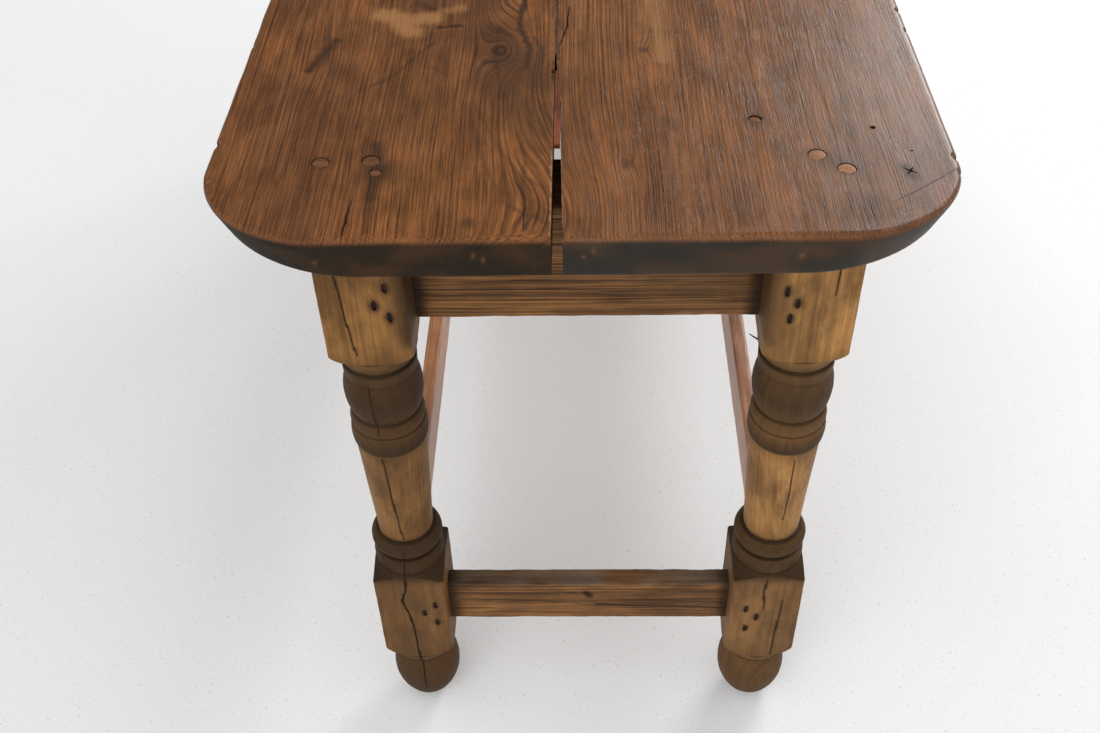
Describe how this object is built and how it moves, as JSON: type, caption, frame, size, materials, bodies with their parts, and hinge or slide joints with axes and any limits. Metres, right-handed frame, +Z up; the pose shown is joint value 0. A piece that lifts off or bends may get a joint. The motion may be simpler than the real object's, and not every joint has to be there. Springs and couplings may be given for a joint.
{
  "type": "communion table",
  "caption": "Long wooden church table: rounded plank top on turned legs with square blocks, joined by aprons and low stretchers",
  "frame": {"origin": "Centre of the object's box on the floor, under the middle of the top.", "axes": "+X across the table to the right seen from the near end, +Y along the table to the far end, +Z up."},
  "size_m": [0.648, 1.6, 0.77],
  "materials": {
    "top_boards": "waxed and worn",
    "slips": "satin",
    "legs": "waxed and worn",
    "aprons": "satin",
    "stretchers": "satin",
    "battens": "rough",
    "pegs": "satin",
    "dowels": "rough",
    "nails": "rusted"
  },
  "bodies": {
    "root": {"apron_back": "aprons", "apron_front": "aprons", "apron_left": "aprons", "apron_nails_back_left": "nails", "apron_nails_back_right": "nails", "apron_nails_front_left": "nails", "apron_nails_front_right": "nails", "apron_right": "aprons", "batten_back": "battens", "batten_front": "battens", "batten_middle": "battens", "batten_nails_back": "nails", "batten_nails_front": "nails", "batten_nails_middle": "nails", "edge_dowels": "dowels", "joint_slip_front": "slips", "joint_slip_rear": "slips", "leg_back_left": "legs", "leg_back_right": "legs", "leg_front_left": "legs", "leg_front_right": "legs", "splinter_nail": "nails", "stretcher_back": "stretchers", "stretcher_front": "stretchers", "stretcher_left": "stretchers", "stretcher_nails_back_left": "nails", "stretcher_nails_back_right": "nails", "stretcher_nails_front_left": "nails", "stretcher_nails_front_right": "nails", "stretcher_right": "stretchers", "top_board_left": "top_boards", "top_board_right": "top_boards", "top_pegs_back_left": "pegs", "top_pegs_back_right": "pegs", "top_pegs_front_left": "pegs", "top_pegs_front_right": "pegs", "top_plug": "pegs"}
  },
  "joints": []
}
